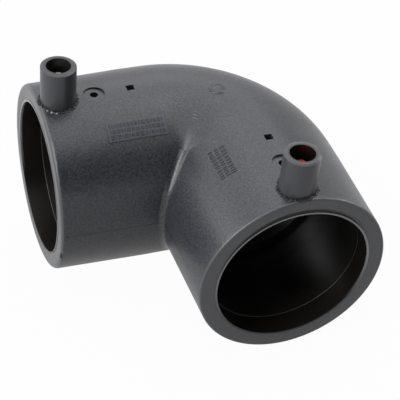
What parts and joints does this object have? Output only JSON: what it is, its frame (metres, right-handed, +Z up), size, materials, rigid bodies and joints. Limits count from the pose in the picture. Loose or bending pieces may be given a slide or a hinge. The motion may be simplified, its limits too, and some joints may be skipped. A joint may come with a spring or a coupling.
{
  "type": "electrofusion elbow",
  "caption": "Right-angle electrofusion elbow for 63 mm polyethylene pipe, with shrouded terminals, melt indicators and a heating wire wound in each socket.",
  "frame": {"origin": "centre of the mouth of socket A", "axes": "+X runs from the mouth into socket A; socket B leaves the bend along -Y; +Z is up, the way the terminals point"},
  "size_m": [0.1232, 0.1232, 0.0963],
  "materials": {
    "black_polyethylene": "moulded black polyethylene with a soft sheen",
    "shroud_polyethylene": "moulded black polyethylene, matt",
    "indicator_polyethylene": "black polyethylene, matt",
    "coated_wire": "copper alloy wire in a black polyethylene coat",
    "tinned_brass": "tinned, slightly dull",
    "red_plastic": "moulded red plastic"
  },
  "bodies": {
    "root": {"elbow_body": "black_polyethylene", "heating_wire": "coated_wire", "terminal_shroud_a": "shroud_polyethylene", "terminal_shroud_b": "shroud_polyethylene", "terminal_pin_a": "tinned_brass", "terminal_pin_b": "tinned_brass", "terminal_tip_cover": "red_plastic", "fusion_indicator_a": "indicator_polyethylene", "fusion_indicator_b": "indicator_polyethylene"}
  },
  "joints": []
}
